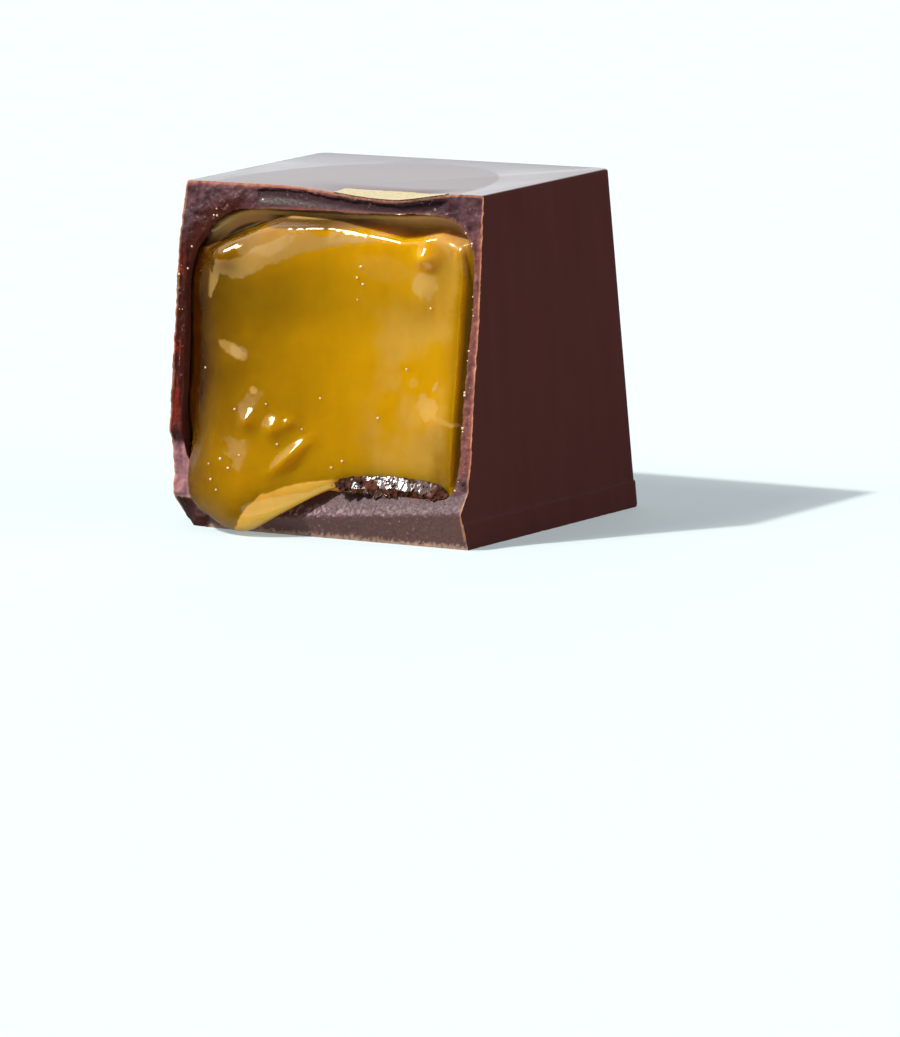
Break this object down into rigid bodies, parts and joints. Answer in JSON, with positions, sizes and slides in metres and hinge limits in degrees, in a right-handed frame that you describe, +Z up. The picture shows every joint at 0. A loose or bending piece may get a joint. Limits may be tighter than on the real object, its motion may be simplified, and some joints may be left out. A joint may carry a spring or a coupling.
{
  "type": "filled chocolate bonbon",
  "caption": "Tapered cube-shaped dark chocolate bonbon, cut open at the front, with soft caramel bulging out and running over its lower edge, and a gold square on top.",
  "frame": {"origin": "middle of the underside, under the middle of the whole outline", "axes": "+X to the right along the cut, +Y from the cut to the back wall, +Z up"},
  "size_m": [0.025, 0.0188, 0.0216],
  "materials": {
    "dark_chocolate": "tempered dark chocolate, semi-gloss where it lay in the mould, matte and crumbly where it is cut",
    "soft_caramel": "wet, translucent amber caramel with a high gloss",
    "gold_powder": "fine gold powder printed on the chocolate, grainy and softly metallic"
  },
  "bodies": {
    "root": {"shell": "dark_chocolate", "caramel_filling": "soft_caramel", "gold_square": "gold_powder"}
  },
  "joints": []
}
